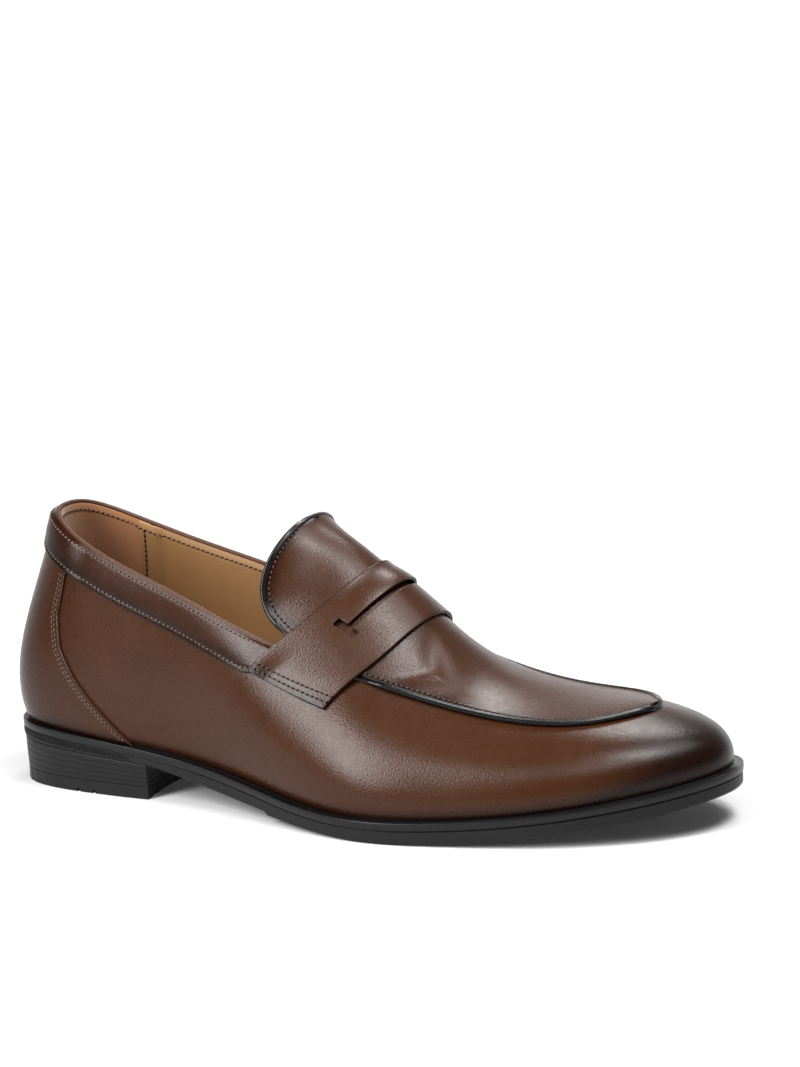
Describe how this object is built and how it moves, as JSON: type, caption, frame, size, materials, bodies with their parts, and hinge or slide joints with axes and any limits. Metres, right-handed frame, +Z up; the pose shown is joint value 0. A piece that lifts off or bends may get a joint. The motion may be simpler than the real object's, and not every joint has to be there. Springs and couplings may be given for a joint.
{
  "type": "penny loafer",
  "caption": "Right-foot slip-on leather shoe with a raised moccasin apron, a slotted saddle strap, a collar band and a low stacked heel.",
  "frame": {"origin": "middle of the heel's flat underside, at ground level", "axes": "+X toward the toe, +Z up, -Y toward the outer side of the foot"},
  "size_m": [0.2991, 0.1093, 0.1093],
  "materials": {
    "upper_leather": "satin, burnished darker at toe, heel and welt line",
    "collar_leather": "satin, dark",
    "binding_leather": "matte painted edge",
    "piping_leather": "gloss",
    "lining_leather": "smooth, matte",
    "grip_suede": "suede",
    "sole_rubber": "satin",
    "welt_rubber": "polished edge",
    "board": "matte pressed fibre",
    "shank_steel": "brushed",
    "cork": "matte cork",
    "wedge_foam": "matte",
    "stiffener": "matte",
    "thread_dark": "waxed thread",
    "thread_light": "waxed thread"
  },
  "bodies": {
    "root": {"outsole": "sole_rubber", "heel_block": "sole_rubber", "heel_top_lift": "sole_rubber", "welt": "welt_rubber", "insole_board": "board", "shank": "shank_steel", "cork_filler": "cork", "hidden_heel_wedge": "wedge_foam", "sock_liner": "lining_leather", "vamp": "upper_leather", "heel_counter_panel": "upper_leather", "collar_band": "collar_leather", "topline_binding": "binding_leather", "apron": "upper_leather", "apron_piping": "piping_leather", "penny_strap": "upper_leather", "vamp_lining": "lining_leather", "apron_lining": "lining_leather", "quarter_lining_lateral": "lining_leather", "quarter_lining_medial": "lining_leather", "heel_grip_lining": "grip_suede", "heel_stiffener": "stiffener", "toe_puff": "stiffener", "apron_stitching": "thread_dark", "collar_top_stitching": "thread_light", "collar_lower_stitching": "thread_light", "strap_stitching_lateral": "thread_dark", "strap_stitching_medial": "thread_dark", "counter_stitching_lateral": "thread_light", "counter_stitching_medial": "thread_light", "lining_stitching_lateral": "thread_dark", "lining_stitching_medial": "thread_dark"}
  },
  "joints": []
}
